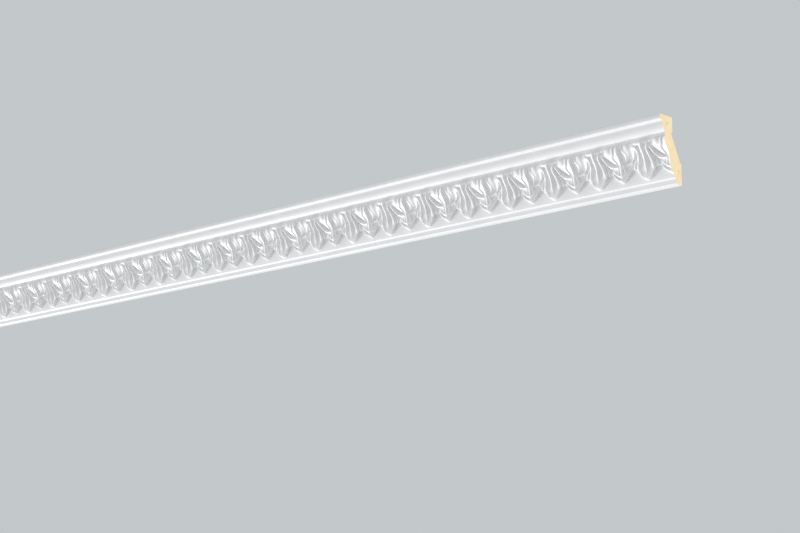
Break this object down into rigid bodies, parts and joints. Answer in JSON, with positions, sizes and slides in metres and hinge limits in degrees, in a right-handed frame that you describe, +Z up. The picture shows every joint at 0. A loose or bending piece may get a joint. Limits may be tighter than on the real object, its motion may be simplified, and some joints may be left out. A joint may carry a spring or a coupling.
{
  "type": "cornice moulding length",
  "caption": "Straight length of white primed cornice moulding for a wall and ceiling corner, with a plain ovolo above and a band of alternating large and small leaves.",
  "frame": {"origin": "middle of the flat that is glued to the wall, half way along the length", "axes": "+X along the moulding, +Y into the wall, +Z up to the ceiling"},
  "size_m": [1.2812, 0.0348, 0.07],
  "materials": {
    "primed_foam": "smooth white factory primer with a low satin sheen over cream rigid foam, bare foam at the saw cuts"
  },
  "bodies": {
    "root": {"cornice_length": "primed_foam"}
  },
  "joints": []
}
